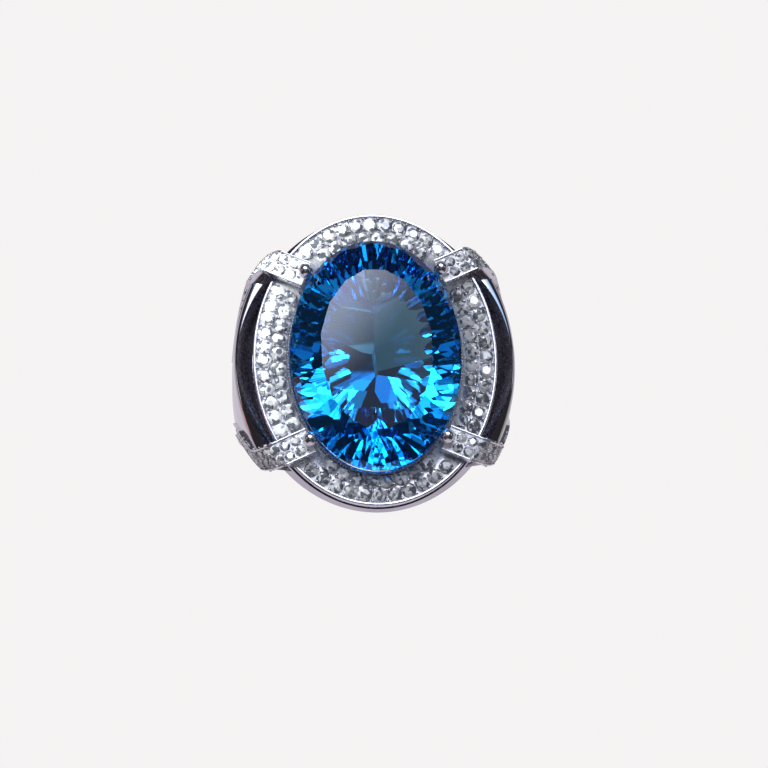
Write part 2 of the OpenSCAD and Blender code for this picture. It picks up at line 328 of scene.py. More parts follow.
def tint(tree, value, colour_a, colour_b, target):
    """A colour that drifts between two close tints."""
    ramp = tree.nodes.new("ShaderNodeValToRGB")
    ramp.color_ramp.elements[0].color = (*colour_a, 1)
    ramp.color_ramp.elements[1].color = (*colour_b, 1)
    ramp.color_ramp.elements[0].position = 0.35
    ramp.color_ramp.elements[1].position = 0.65
    tree.links.new(value, ramp.inputs["Fac"])
    tree.links.new(ramp.outputs["Color"], target)


def bump(tree, value, depth_mm, shader):
    """Raises a shader's surface by a value times a depth."""
    node = tree.nodes.new("ShaderNodeBump")
    node.inputs["Strength"].default_value = 1.0
    node.inputs["Distance"].default_value = depth_mm * MM
    tree.links.new(value, node.inputs["Height"])
    tree.links.new(node.outputs["Normal"], shader.inputs["Normal"])


def metal(name, dark, light, rough, grain, depth, metallic=1.0):
    """Polished metal whose tint, gloss and surface drift a little."""
    material, tree, shader = new_material(name)
    shader.inputs["Metallic"].default_value = metallic
    tint(tree, noise(tree, 0.35), dark, light, shader.inputs["Base Color"])
    spread(tree, noise(tree, grain, 5.0), rough * 0.6, rough * 1.5, shader.inputs["Roughness"])
    bump(tree, noise(tree, grain * 1.7, 4.0), depth, shader)
    return material


def gem(name, ior, base, drift):
    """Clear faceted stone whose faint tint drifts."""
    material, tree, shader = new_material(name)
    shader.inputs["Transmission Weight"].default_value = 1.0
    shader.inputs["IOR"].default_value = ior
    shader.inputs["Roughness"].default_value = 0.0
    tint(tree, noise(tree, 0.8), base, drift, shader.inputs["Base Color"])
    return material, tree, shader


def painted_sparkle(tree, shader):
    """Painted sparkle: small patches of the base colour, from dark grey to white, stand in for the light and
    dark glints of tiny stones' facets.
    """
    shader.inputs["Transmission Weight"].default_value = 0.55
    where = tree.nodes.new("ShaderNodeTexCoord")
    cells = tree.nodes.new("ShaderNodeTexVoronoi")
    cells.inputs["Scale"].default_value = 3.4 / MM
    tree.links.new(where.outputs["Object"], cells.inputs["Vector"])
    split = tree.nodes.new("ShaderNodeSeparateColor")
    tree.links.new(cells.outputs["Color"], split.inputs["Color"])
    tint(tree, split.outputs["Red"], (0.16, 0.17, 0.20), (1.0, 1.0, 1.0), shader.inputs["Base Color"])


def polish_lines(tree, shader, top_mm, depth_mm):
    """Fine lines left by the cutting wheel, running from the keel to the girdle, below a height only."""
    where = tree.nodes.new("ShaderNodeTexCoord")
    split = tree.nodes.new("ShaderNodeSeparateXYZ")
    tree.links.new(where.outputs["Object"], split.inputs["Vector"])
    turn = tree.nodes.new("ShaderNodeMath")
    turn.operation = "ARCTAN2"
    tree.links.new(split.outputs["Y"], turn.inputs[0])
    tree.links.new(split.outputs["X"], turn.inputs[1])
    lines = tree.nodes.new("ShaderNodeTexNoise")
    lines.noise_dimensions = "1D"
    lines.inputs["Scale"].default_value = 14.0
    lines.inputs["Detail"].default_value = 3.0
    tree.links.new(turn.outputs["Value"], lines.inputs["W"])
    below = tree.nodes.new("ShaderNodeMath")
    below.operation = "LESS_THAN"
    below.inputs[1].default_value = top_mm * MM
    tree.links.new(split.outputs["Z"], below.inputs[0])
    height = tree.nodes.new("ShaderNodeMath")
    height.operation = "MULTIPLY"
    tree.links.new(lines.outputs["Fac"], height.inputs[0])
    tree.links.new(below.outputs["Value"], height.inputs[1])
    bump(tree, height.outputs["Value"], depth_mm, shader)


def white_stone_material():
    """Small white stones, with painted sparkle in their colour."""
    material, tree, shader = gem("white_stone", 2.3, (0.97, 1.0, 1.0), (0.90, 0.95, 1.0))
    # Base colour in dark grey to white patches: painted facet glints.
    painted_sparkle(tree, shader)
    return material


def topaz_material():
    """Blue topaz: its depth of colour grows with the light's way through it."""
    material, tree, shader = gem("blue_topaz", 1.62, (0.86, 0.97, 1.0), (0.95, 0.99, 1.0))
    polish_lines(tree, shader, STONE_HI.z - 1.95, 0.0015)
    absorb = tree.nodes.new("ShaderNodeVolumeAbsorption")
    absorb.inputs["Color"].default_value = (0.0, 0.78, 0.985, 1)
    absorb.inputs["Density"].default_value = 260.0
    tree.links.new(absorb.outputs["Volume"], tree.nodes["Material Output"].inputs["Volume"])
    return material


# Darker copy of the silver for the cove lining: painted shade in the recess.
shaded_cove_silver = metal("shaded_cove_silver", (0.26, 0.24, 0.26), (0.34, 0.32, 0.35), 0.24, 3.0, 0.004)
silver = metal("polished_silver", (0.63, 0.60, 0.65), (0.72, 0.69, 0.74), 0.07, 2.0, 0.0012)
# Slightly darker, less metallic copy of the silver for the pave beds: painted shade between the stones.
pave_silver = metal("pave_silver", (0.58, 0.58, 0.62), (0.70, 0.70, 0.74), 0.3, 4.0, 0.02, 0.6)
# Lighter copy of the silver for wires, rails, beads and prongs: painted highlight.
bright_edge = metal("bright_edge", (0.82, 0.80, 0.84), (0.90, 0.88, 0.92), 0.2, 2.0, 0.0008)
white_stone = white_stone_material()
topaz = topaz_material()

# ---- Shank, shoulders, gallery and rails ----


def shank_loop(angle):
    """Section of the shank at an angle above the horizontal: flat inside, domed outside, soft edges."""
    above = max(0.0, math.sin(angle))
    width = lookup(SHANK_R * math.sin(angle), [(-SHANK_R, SHANK_W), (0, ARM_W)])
    arm = min(1.0, above * 9)
    outer = SHANK_R * (1 - arm) + ARM_R * arm
    ys = [width * k / 8 for k in range(-8, 9)]
    top = [(y, outer * math.sqrt(1 - (y / SHOULDER_Y) ** 2) if arm < 1 else outer) for y in ys]
    loop = rounded([(-width, BORE_R, 0), *[(y, r, 0) for y, r in top], (width, BORE_R, 0)],
                   [0.22, 0.3, *[0] * 15, 0.3, 0.22])
    return [(p.y * math.cos(angle), p.x, p.y * math.sin(angle)) for p in loop]


def build_shank():
    """Band round the finger, up into both shoulders."""
    end = math.radians(52)
    steps = 168
    angles = [math.pi - end + (math.pi + 2 * end) * k / steps for k in range(steps + 1)]
    sections("shank_band", [shank_loop(a) for a in angles], silver, ["shank"])


def halo_edge(y, out):
    """Half width of the halo, or of an oval a little outside it, at a place along the finger."""
    return (HALO_X + out) * math.sqrt(max(0.0, 1 - (y / (HALO_Y + out)) ** 2))


def cheek_wall(u, z, inset=0.0):
    """Point of a cheek's outer wall, u = -1 to 1 across it."""
    y = u * edge_y(z)
    r = lookup(z, [(0, SHANK_R), (4, CHEEK_R), (9, CHEEK_R), (CHEEK_TOP, CHEEK_TOP_R)]) - inset
    x = r * math.sqrt(1 - (y / (SHOULDER_Y - inset)) ** 2)
    if inset:
        x = max(x, math.sqrt(max(0.0, ARM_R ** 2 - z * z)))
    return Vector((x, y, z))


def cheek_top(u):
    """Outer edge, ridge and halo edge of a cheek's top, u = -1 to 1 across it."""
    wall = cheek_wall(u, CHEEK_TOP)
    y = u * edge_y(RIM_Z)
    inner = halo_edge(y, 0.02)
    ridge = Vector((max(math.sqrt(RIDGE_R ** 2 - y * y), inner + 0.06), y, RIM_Z))
    return wall, ridge, Vector((inner, y, PLATE_Z - 0.7))


def cove_line(u):
    """Points of the concave cove from the ridge down to the halo."""
    _, ridge, foot = cheek_top(u)
    line = []
    for k in range(COVE_STEPS + 1):
        t = k / COVE_STEPS
        p = ridge.lerp(foot, t)
        p.z = ridge.z + (foot.z - ridge.z) * (0.35 * t + 0.65 * (1 - (1 - t) ** 2))
        line.append(p)
    return line


def cheek_profile(u):
    """Closed section of a cheek: outer wall, rounded edge, ridge, concave cove, underside and inner wall."""
    wall, ridge, foot = cheek_top(u)
    loop = [cheek_wall(u, CHEEK_TOP * k / WALL_STEPS) for k in range(WALL_STEPS)]
    turn = wall.lerp(ridge, 0.12)
    turn.z = RIM_Z - 0.02
    for k in range(9):
        t = k / 9
        loop.append(wall * (1 - t) ** 2 + turn * 2 * t * (1 - t) + ridge * t * t)
    loop += [p - Vector((0, 0, min(0.08, 0.04 * k))) for k, p in enumerate(cove_line(u))]
    loop.append(foot - Vector((0, 0, 0.5)))
    for k in range(WALL_STEPS):
        loop.append(cheek_wall(u, (CHEEK_TOP - 0.5) * (1 - k / (WALL_STEPS - 1)), 1.1))
    return loop


def liner_profile(u):
    """Section of the thin satin lining of the cove, whose darker silver is painted shade in the recess."""
    line = cove_line(u)
    line[0] = line[0].lerp(line[1], 0.4)
    return line + [p - Vector((0, 0, COVE_LINER)) for p in line[::-1]]


def build_shoulder(name, sx):
    """Polished cheek from the shank to the head, with its ridge and the cove along the halo, dark from its
    depth and from painted shade in its lining.
    """
    stations = [-1 + 2 * k / CHEEK_STEPS for k in range(CHEEK_STEPS + 1)]
    parts = (("cheek_", cheek_profile, silver), ("cove_", liner_profile, shaded_cove_silver))
    for part, profile, material in parts:
        loops = [[(sx * p.x, p.y, p.z) for p in profile(u)] for u in stations]
        sections(part + name, loops, material, ["shoulder_" + name], 32)


def gallery_wall_line():
    """Outer line of the gallery, from the rim down, in four steps between the points that shape it."""
    fall = [(-0.12, -0.45), (-0.35, -1.0), (-0.8, -2.3), (-1.25, -3.5), (-1.8, -4.9), (-2.5, -6.3)]
    line = []
    for (out0, z0), (out1, z1) in zip(fall, fall[1:]):
        for k in range(4):
            out, z = out0 + (out1 - out0) * k / 4, z0 + (z1 - z0) * k / 4
            line.append((GAL_X + out, GAL_Y + out, RIM_Z + z))
    return line


def build_gallery():
    """Tapered oval wall under the halo: grooved along it, steeply bevelled, lower under the shoulders."""
    wall = gallery_wall_line()
    foot = PLATE_Z - 0.25
    edge = rounded([(HALO_X + 0.07, HALO_Y + 0.05, foot), (HALO_X + 0.10, HALO_Y + 0.08, RIM_Z + 0.15),
                    wall[0], wall[1]], [0, 0.05, 0.12, 0], 6)
    groove = [(HALO_X - 0.6, HALO_Y - 0.6, foot)] + [tuple(p) for p in edge[:-1]]
    inside = [(GAL_X - 3.6, GAL_Y - 3.8, RIM_Z - 6.3), (GAL_X - 1.3, GAL_Y - 1.3, RIM_Z - 1.6)]
    rings = groove + wall[1:] + inside
    piece = oval_loft("gallery_wall", rings, silver, ["gallery"], sides=320)
    for v in piece.data.vertices:
        if abs(v.co.y) < 7.3 * MM:
            v.co.z = min(v.co.z, (PLATE_Z - 1.0) * MM)
    cut_finger(piece, BORE_R + 1.85)
    by_angle(piece, 30)


def cut_finger(piece, radius):
    """Cuts a cylinder along the finger out of a piece."""
    shape = lathe([(0, -20), (radius, -20), (radius, 20), (0, 20)], 256)
    carve(piece, shape, [Matrix.Rotation(math.pi / 2, 4, "X")])


def build_base_rail():
    """Saddle-shaped rail between the gallery and the arms."""
    loops = []
    count = 240
    for i in range(count):
        t = 2 * math.pi * i / count
        loop = []
        for out, lift in ((0, 0), (0, 0.8), (-1.1, 0.8), (-1.1, 0)):
            x, y = (8.4 + out) * math.cos(t), (10.7 + out) * math.sin(t)
            loop.append((x, y, math.sqrt((ARM_R + lift) ** 2 - x * x)))
        loops.append([tuple(p) for p in rounded(loop, 0.22, 3)])
    m = len(loops[0])
    faces = []
    for i in range(count):
        here, ahead = i * m, ((i + 1) % count) * m
        faces += [(here + k, here + (k + 1) % m, ahead + (k + 1) % m, ahead + k) for k in range(m)]
    verts = [p for loop in loops for p in loop]
    piece = make("base_rail_saddle", verts, faces, silver, ["base_rail"])
    by_angle(piece, 40)


# ---- Halo ----


def walk(a, b, t, arc, steps=48):
    """Angle on an oval reached from the angle t by walking an arc."""
    for _ in range(steps):
        t += arc / steps / math.hypot(a * math.sin(t), b * math.cos(t))
    return t


def on_oval(a, b, t, z, lean):
    """Placement on an oval at an angle, with its own X facing outwards and Z leaning out by lean."""
    face = math.atan2(math.sin(t) / b, math.cos(t) / a)
    return (Matrix.Translation((a * math.cos(t), b * math.sin(t), z))
            @ Matrix.Rotation(face, 4, "Z") @ Matrix.Rotation(lean, 4, "Y"))


def halo_row(offset, side, shift, z, lean, margin):
    """Placements along one row of one quarter, as far as the straps on both sides."""
    a, b = HALO_X - offset, HALO_Y - offset
    out = []
    for k in range(-12, 13):
        t = walk(a, b, math.radians(side[0]), (k + shift) * HALO_PITCH)
        clear = side[1] * strap_side(abs(a * math.cos(t)), abs(b * math.sin(t)))
        if abs(k + shift) * HALO_PITCH < HALO_Y and clear > margin:
            out.append(on_oval(a, b, t, z, lean))
    return out


def halo_places(side, size=1.0):
    """Placements of both rows of stones in one quarter of the halo."""
    margin = (STRAP_W + HALO_STONE) / 2 + 0.02
    places = (halo_row(OUTER_ROW, side, 0, HALO_Z, 0, margin)
              + halo_row(INNER_ROW, side, 0.5, HALO_Z - DISH_DROP, -DISH_LEAN, margin))
    return [m @ jitter() @ Matrix.Scale(size, 4) for m in places]


def jitter():
    """Small turn and tilt, as hand-set stones never sit quite alike."""
    tilt = Matrix.Rotation(math.radians(chance.uniform(-3.5, 3.5)), 4, "X")
    return Matrix.Rotation(chance.uniform(0, 1.57), 4, "Z") @ tilt


def brilliant(d):
    """Round brilliant with 57 facets and a girdle. Its girdle's top edge is at z = 0."""
    girdle, table, star, lower = 0.5 * d, 0.285 * d, 0.405 * d, 0.11 * d
    crown, pavilion, band = 0.12 * d, 0.43 * d, 0.03 * d
    half = math.pi / 8
    verts, faces = [], []

    def ring(count, radius, z, turn):
        """Adds a circle of points and gives the first one's number."""
        start = len(verts)
        for i in range(count):
            t = 2 * math.pi * (i + turn) / count
            verts.append((radius * math.cos(t), radius * math.sin(t), z))
        return start

    top = ring(8, table, crown, 0)
    kite = ring(8, star, crown * (girdle - star * math.cos(half)) / (girdle - table), 0.5)
    upper = ring(16, girdle, 0, 0)
    under = ring(16, girdle, -band, 0)
    main = ring(8, lower, -band - pavilion * (1 - lower * math.cos(half) / girdle), 0.5)
    culet = len(verts)
    verts.append((0, 0, -band - pavilion))
    faces.append(tuple(range(top, top + 8)))
    for i in range(8):
        j, g = (i + 1) % 8, 2 * i
        ahead = (g + 2) % 16
        faces.append((top + i, kite + i, top + j))
        faces.append((top + j, kite + i, upper + ahead, kite + j))
        faces.append((kite + i, upper + g, upper + g + 1))
        faces.append((kite + i, upper + g + 1, upper + ahead))
        faces.append((main + i, under + g + 1, under + g))
        faces.append((main + i, under + ahead, under + g + 1))
        faces.append((culet, main + j, under + ahead, main + i))
    for g in range(16):
        h = (g + 1) % 16
        faces.append((upper + g, upper + h, under + h, under + g))
    return verts, faces


def seat(d):
    """Closed shape of a drilled seat: a cylinder down to the girdle, then a cone and a pilot hole."""
    r = d / 2 + 0.012
    return lathe([(0, 0.6 * d), (r, 0.6 * d), (r, -0.06 * d), (0.3 * r, -0.46 * d), (0.3 * r, -0.62 * d),
                  (0, -0.62 * d)], 20)


def bead(r):
    """Round-topped bead, sunk a little below the surface."""
    return lathe([(0, -r * 0.6), (r, -r * 0.6), (r, 0.15 * r), (0.87 * r, 0.62 * r), (0.5 * r, 0.94 * r),
                  (0, 1.08 * r)], 10)


def build_halo_plate():
    """Pave plate with its sunk bed, its inner row in a dish, its seats, prong holes and strap channels."""
    bed = HALO_Z - BED_DEPTH
    rings = rounded([(HALO_X - RIM_W, HALO_Y - RIM_W, PLATE_Z), (HALO_X - RIM_W, HALO_Y - RIM_W, bed),
                     (8.0, 10.2, bed), (HOLE_X + 0.25, HOLE_Y + 0.25, bed - 0.4),
                     (HOLE_X + 0.2, HOLE_Y + 0.2, PLATE_Z)], [0, 0, 0.3, 0.05, 0])
    plate = oval_loft("halo_pave_plate", rings, pave_silver, ["halo_plate"])
    seats = [m for side in SIDES.values() for m in halo_places(side)]
    carve(plate, seat(HALO_STONE), seats, crossing=True)
    hole = WIRE_D / 2 + 0.01
    wires = [Matrix.Translation((sx * PRONG_AT.x, sy * PRONG_AT.y, HALO_Z)) for sx, sy in CORNERS.values()]
    carve(plate, lathe([(0, -6), (hole, -6), (hole, 6), (0, 6)], 24), wires)
    carve(plate, *strap_channel())


def build_halo_rim():
    """Plain wire round the plate, in the lighter silver of painted highlight, open where the straps cross it.
    """
    x, y = HALO_X - RIM_W, HALO_Y - RIM_W
    rings = rounded([(HALO_X, HALO_Y, PLATE_Z), (HALO_X, HALO_Y, RIM_HI.z),
                     (x, y, RIM_HI.z), (x, y, PLATE_Z)], [0.05, 0.1, 0.1, 0])
    wire = oval_loft("halo_border_wire", rings, bright_edge, ["halo_rim"], 320)
    carve(wire, *strap_channel())
    by_angle(wire, 60)


def build_halo():
    """Plate, stones, bead prongs and rim wire."""
    build_halo_plate()
    for name, side in SIDES.items():
        copies("halo_brilliants_" + name, brilliant(1.0), halo_places(side, HALO_BRILLIANT), white_stone,
               ["halo_stones_" + name])
    build_halo_beads()
    build_halo_rim()


def strap_channel():
    """Shape and placements of the channels in which the straps cross the halo."""
    half, low, high = STRAP_W / 2 + 0.17, HALO_Z - 0.75, HALO_Z + 2
    points = [(x, y, z) for z in (low, high) for x, y in ((-1.5, -half), (5, -half), (5, half), (-1.5, half))]
    faces = [(0, 1, 2, 3), (4, 5, 6, 7), (0, 1, 5, 4), (1, 2, 6, 5), (2, 3, 7, 6), (3, 0, 4, 7)]
    strap = Matrix.Translation(STRAP_MID) @ Matrix.Rotation(STRAP_ANGLE, 4, "Z")
    return (points, faces), [Matrix.Diagonal((sx, sy, 1, 1)) @ strap for sx, sy in CORNERS.values()]


def build_halo_beads():
    """Bead prongs between the stones of both rows and along their outer and inner edges."""
    rows = [
        # offset from the rim, shift in pitches, height, lean, radius
        (OUTER_ROW - 0.47, 0.5, HALO_Z, 0.0, 0.13),
        (OUTER_ROW + 0.36, 0.5, HALO_Z, 0.0, 0.14),
        (OUTER_ROW + 0.73, 0, HALO_Z - 0.04, -0.2, 0.14),
        (INNER_ROW + 0.47, 0, HALO_Z - 0.30, -DISH_LEAN, 0.12),
    ]
    places = []
    for side in SIDES.values():
        for offset, shift, z, lean, r in rows:
            row = halo_row(offset, side, shift, z, lean, STRAP_W / 2 + r)
            places += [m @ Matrix.Scale(r, 4) for m in row]
    copies("halo_beads", bead(1.0), places, bright_edge, smooth=True)


def build_milgrain():
    """Row of tiny beads on the halo's inner edge, on a thin ledge."""
    ledge = [(HOLE_X + 0.2, HOLE_Y + 0.2, PLATE_Z), (HOLE_X + 0.2, HOLE_Y + 0.2, HALO_Z - 0.42),
             (HOLE_X, HOLE_Y, HALO_Z - 0.46), (HOLE_X, HOLE_Y, PLATE_Z)]
    by_angle(oval_loft("milgrain_ledge", ledge, silver, ["milgrain_ring"]), 40)
    a, b, r = HOLE_X + 0.13, HOLE_Y + 0.13, 0.12
    count, step = 196, 2 * math.pi / 720
    length = sum(math.hypot(a * math.sin(k * step), b * math.cos(k * step)) * step for k in range(720))
    t, places = 0.0, []
    for _ in range(count):
        places.append(on_oval(a, b, t, HALO_Z - 0.42, 0) @ Matrix.Scale(r, 4))
        t = walk(a, b, t, length / count, 6)
    copies("milgrain_beads", bead(1.0), places, bright_edge, smooth=True)


# ---- Straps and shoulder borders ----


def border_point(z, across=0.0):
    """Point of a border at a height and a distance across it."""
    y = edge_y(z) + BORDER_OUT - border_w(z) / 2 + across * math.cos(BORDER_LEAN)
    reach = lookup(z, [(9, BORDER_X - 0.08), (RIM_Z, BORDER_X)])
    return Vector((reach * math.sqrt(1 - (y / BORDER_Y) ** 2), y, z - across * math.sin(BORDER_LEAN)))


def band_line(v):
    """One line along a strap, over its bend and down its border, at v = -1 to 1 across the band."""
    along = Vector((math.cos(STRAP_ANGLE), math.sin(STRAP_ANGLE), 0))
    side = Vector((-math.sin(STRAP_ANGLE), math.cos(STRAP_ANGLE), 0))
    origin = STRAP_MID + side * v * STRAP_W / 2 + Vector((0, 0, STRAP_TOP))
    corner = 1.05 - 0.17 * v
    line = [origin + along * (-2.05 + (corner + 1.5) * k / TOP_STEPS) for k in range(TOP_STEPS)]
    start = RIM_Z - 0.9
    reach = border_w(start) * 0.475
    p0 = origin + along * (corner - 0.55)
    p1 = origin + along * (corner - 0.05)
    p3 = border_point(start, v * reach)
    p2 = p3 + (p3 - border_point(start - 0.5, v * reach)).normalized() * 1.0
    for k in range(BEND_STEPS):
        t = k / BEND_STEPS
        line.append(p0 * (1 - t) ** 3 + p1 * 3 * t * (1 - t) ** 2 + p2 * 3 * t * t * (1 - t) + p3 * t ** 3)
    for k in range(SIDE_STEPS + 1):
        z = start + (BORDER_Z + 0.3 - start) * k / SIDE_STEPS
        line.append(border_point(z, v * border_w(z) * 0.475))
    return line


def band_frame(lines, k, j):
    """Point, across and normal of a band at a station k and a line j."""
    up, down = lines[j][max(k - 1, 0)], lines[j][min(k + 1, len(lines[j]) - 1)]
    left, right = lines[max(j - 1, 0)][k], lines[min(j + 1, len(lines) - 1)][k]
    across = (right - left).normalized()
    normal = (down - up).cross(across).normalized()
    return lines[j][k], across, normal


def band_loops(outline, first, last):
    """Sections of a strip of a band, from its outline: (place across, height, corner radius)."""
    corners = rounded([(a, b, 0) for a, b, _ in outline], [r for _, _, r in outline], 2)
    loops = [[] for _ in range(first, last + 1)]
    for a, b, _ in corners:
        lines = [band_line(a - 0.01), band_line(a), band_line(a + 0.01)]
        for i, k in enumerate(range(first, last + 1)):
            p, _, normal = band_frame(lines, k, 1)
            loops[i].append(tuple(p + normal * b))
    return loops


def bed_outline(thick):
    """Sunk bed between the rails."""
    top = [(a, -0.07, 0) for a in (-0.45, 0, 0.45)]
    return [(-0.95, -thick, 0), (-0.95, -0.07, 0), *top, (0.95, -0.07, 0), (0.95, -thick, 0)]


def rail_outline(side):
    """Raised rail along one edge."""
    return [(side, -0.75, 0.02), (side, 0.08, 0.07), (side * 0.87, 0.08, 0.05), (side * 0.87, -0.75, 0)]


def stones_on_line(v, start, stop, d, pitch):
    """Placements of stones along one line of a band, from an arc length to a height."""
    lines = [band_line(v - 0.01), band_line(v), band_line(v + 0.01)]
    places, done, wanted = [], 0.0, start
    for k in range(1, len(lines[1]) - 1):
        step = (lines[1][k] - lines[1][k - 1]).length
        while done + step >= wanted:
            f = (wanted - done) / step
            (p, a, n), (q, b, m) = band_frame(lines, k - 1, 1), band_frame(lines, k, 1)
            centre, across, normal = p.lerp(q, f), a.lerp(b, f).normalized(), n.lerp(m, f).normalized()
            if centre.z < stop:
                return places, wanted
            place = Matrix((across, normal.cross(across), normal)).transposed().to_4x4()
            place.translation = centre - normal * 0.03
            places.append(place @ jitter() @ Matrix.Scale(d, 4))
            wanted += pitch
        done += step
    return places, wanted


def band_stones():
    """Placements of the strap's and the border's stones: two rows, and one where the border is narrow."""
    pairs = []
    for v in (-PAIR_AT, PAIR_AT):
        places, end = stones_on_line(v, 1.07, 10.6, PAIR_STONE, PAIR_PITCH)
        pairs += places
    single, _ = stones_on_line(0.0, end + 0.1, 6.6, SINGLE_STONE, SINGLE_PITCH)
    strap = [m for m in pairs if m.translation.z > RIM_Z]
    return strap, [m for m in pairs if m.translation.z <= RIM_Z] + single


def mirrored(places, sx, sy):
    """Placements of the back right corner carried to another one, without turning stones inside out."""
    flip = Matrix.Diagonal((sx, sy, 1, 1))
    return [flip @ m @ Matrix.Diagonal((sx * sy, 1, 1, 1)) for m in places]


def corner_beads(stones):
    """Placements of four small bead prongs round each stone of a strap."""
    beads = []
    for m in stones:
        size = Matrix.Scale(0.11 / m.to_scale().x, 4)
        beads += [m @ Matrix.Translation((dx * 0.5, dy * 0.52, -0.02)) @ size
                  for dx in (-1, 1) for dy in (-1, 1)]
    return beads


def build_band(span, name, first, last, thick, seats):
    """Bed and two rails of a strap or a border, between two stations, at one corner."""
    flip = Matrix.Diagonal((*CORNERS[name], 1, 1))
    strips = [("bed_", bed_outline(thick), pave_silver), ("rail_outer_", rail_outline(1), bright_edge),
              ("rail_inner_", rail_outline(-1), bright_edge)]
    for part, outline, material in strips:
        loops = [[tuple(flip @ Vector(q)) for q in loop] for loop in band_loops(outline, first, last)]
        piece = sections(span + part + name, loops, material, [span + name])
        if part == "bed_":
            carve(piece, seat(1.0), seats, crossing=True)


def build_straps():
    """Straps, borders, their stones and the bead prongs at the stones' corners."""
    split, last = TOP_STEPS + BEND_STEPS, TOP_STEPS + BEND_STEPS + SIDE_STEPS
    strap_stones, border_stones = band_stones()
    beads = corner_beads(strap_stones + border_stones)
    for name, (sx, sy) in CORNERS.items():
        seats = mirrored(strap_stones + border_stones, sx, sy)
        build_band("strap_", name, 0, split, 0.75, seats)
        build_band("border_", name, split, last, 0.55, seats)
        for span, stones in (("strap_", strap_stones), ("border_", border_stones)):
            copies(span + "brilliants_" + name, brilliant(1.0), mirrored(stones, sx, sy), white_stone,
                   [span + "stones_" + name])
        copies("strap_beads_" + name, bead(1.0), mirrored(beads, sx, sy), bright_edge, smooth=True)


# ---- Setting and centre stone ----


def build_prongs():
    """Round wires that end in balls, on the stone's edge."""
    r, w = BALL_D / 2, WIRE_D / 2
    top = PRONG_HI.z
    profile = [(0, PRONG_LO.z), (w * 0.8, PRONG_LO.z), (w, PRONG_LO.z + 0.1), (w, top - 1.75 * r)]
    for k in range(1, 15):
        a = math.radians(-62 + 152 * k / 15)
        profile.append((r * math.cos(a), top - r + r * math.sin(a)))
    profile.append((0, top))
    for name, (sx, sy) in CORNERS.items():
        place = Matrix.Translation((sx * PRONG_AT.x, sy * PRONG_AT.y, 0))
        copies("ball_prong_" + name, lathe(profile, 32), [place], bright_edge,
               ["prong_" + name], smooth=True)


def build_basket():
    """Two oval rings under the halo that carry the prongs."""
    x, y = BASKET_HI.x, BASKET_HI.y
    for level, z in (("lower", BASKET_LO.z), ("upper", BASKET_HI.z - BASKET_WALL)):
        top, inner_x, inner_y = z + BASKET_WALL, x - BASKET_WALL, y - BASKET_WALL
        rings = rounded([(x, y, z), (x, y, top), (inner_x, inner_y, top), (inner_x, inner_y, z)], 0.2)
        piece = oval_loft("basket_ring_" + level, rings, silver, ["basket"])
        by_angle(piece, 40)


def support(a, b, turn):
    """Distance from an oval's centre to its tangent square to a direction."""
    return math.hypot(a * math.cos(turn), b * math.sin(turn))


def oval_turn(a, b, t):
    """Direction square to an oval at one of its own angles. Even steps of t give facets of even width."""
    return math.atan2(math.sin(t) / b, math.cos(t) / a)


def grind(bm, turn, reach, z, slope):
    """Grinds one flat facet: through a tangent at a distance and height, at a slope from the level.

    A positive slope falls outwards, as on a crown. A negative slope is under the girdle.
    """
    out = Vector((math.cos(turn), math.sin(turn), 0))
    normal = out * math.sin(abs(slope)) + Vector((0, 0, math.copysign(math.cos(slope), slope)))
    cut = bmesh.ops.bisect_plane(bm, geom=bm.verts[:] + bm.edges[:] + bm.faces[:], dist=1e-6,
                                 plane_co=out * reach + Vector((0, 0, z)), plane_no=normal, clear_outer=True)
    rim = [e for e in cut["geom_cut"] if isinstance(e, bmesh.types.BMEdge)]
    if rim:
        bmesh.ops.contextual_create(bm, geom=rim)


def stone_blank(bm, a, b, low, high):
    """Upright oval column to grind the stone from."""
    rings = []
    for z in (low, high):
        turns = [2 * math.pi * i / BLANK_SIDES for i in range(BLANK_SIDES)]
        rings.append([bm.verts.new((a * math.cos(t), b * math.sin(t), z)) for t in turns])
    bm.faces.new(rings[0][::-1])
    bm.faces.new(rings[1])
    for i in range(BLANK_SIDES):
        j = (i + 1) % BLANK_SIDES
        bm.faces.new((rings[0][i], rings[0][j], rings[1][j], rings[1][i]))


def grind_crown(bm, a, b, table_z):
    """Bezel facets up to the table, and upper girdle facets under them."""
    for i in range(BEZELS):
        turn = oval_turn(a, b, 2 * math.pi * i / BEZELS)
        reach, table = support(a, b, turn), support(a * 0.64, b * 0.69, turn)
        grind(bm, turn, table, table_z, math.atan2(1.55, reach - table))
    for i in range(UPPER_GIRDLES):
        turn = oval_turn(a, b, 2 * math.pi * (i + 0.5) / UPPER_GIRDLES)
        grind(bm, turn, support(a, b, turn), GIRDLE_HI - 0.04, math.radians(41))


def grind_pavilion(bm, a, b):
    """Steep outer facets, where the flutes go, and the flatter uneven ones round the keel."""
    for i in range(FLUTES):
        turn = oval_turn(a, b, 2 * math.pi * (i + 0.5) / FLUTES)
        reach, low = support(a, b, turn), support(*WAIST, turn)
        grind(bm, turn, reach, GIRDLE_LO, -math.atan2(GIRDLE_LO - WAIST_Z, reach - low))
    for i in range(KEEL_FACETS):
        turn = oval_turn(*WAIST, 2 * math.pi * (i + 0.5) / KEEL_FACETS)
        steep = 37.5 + 6.5 * math.sin(turn) ** 2 + 0.8 * math.sin(3.7 * i)
        grind(bm, turn, support(*WAIST, turn), WAIST_Z, -math.radians(steep))
    low = min(v.co.z for v in bm.verts)
    grind(bm, 0, 0, max(STONE_LO.z, low), -0.0001)


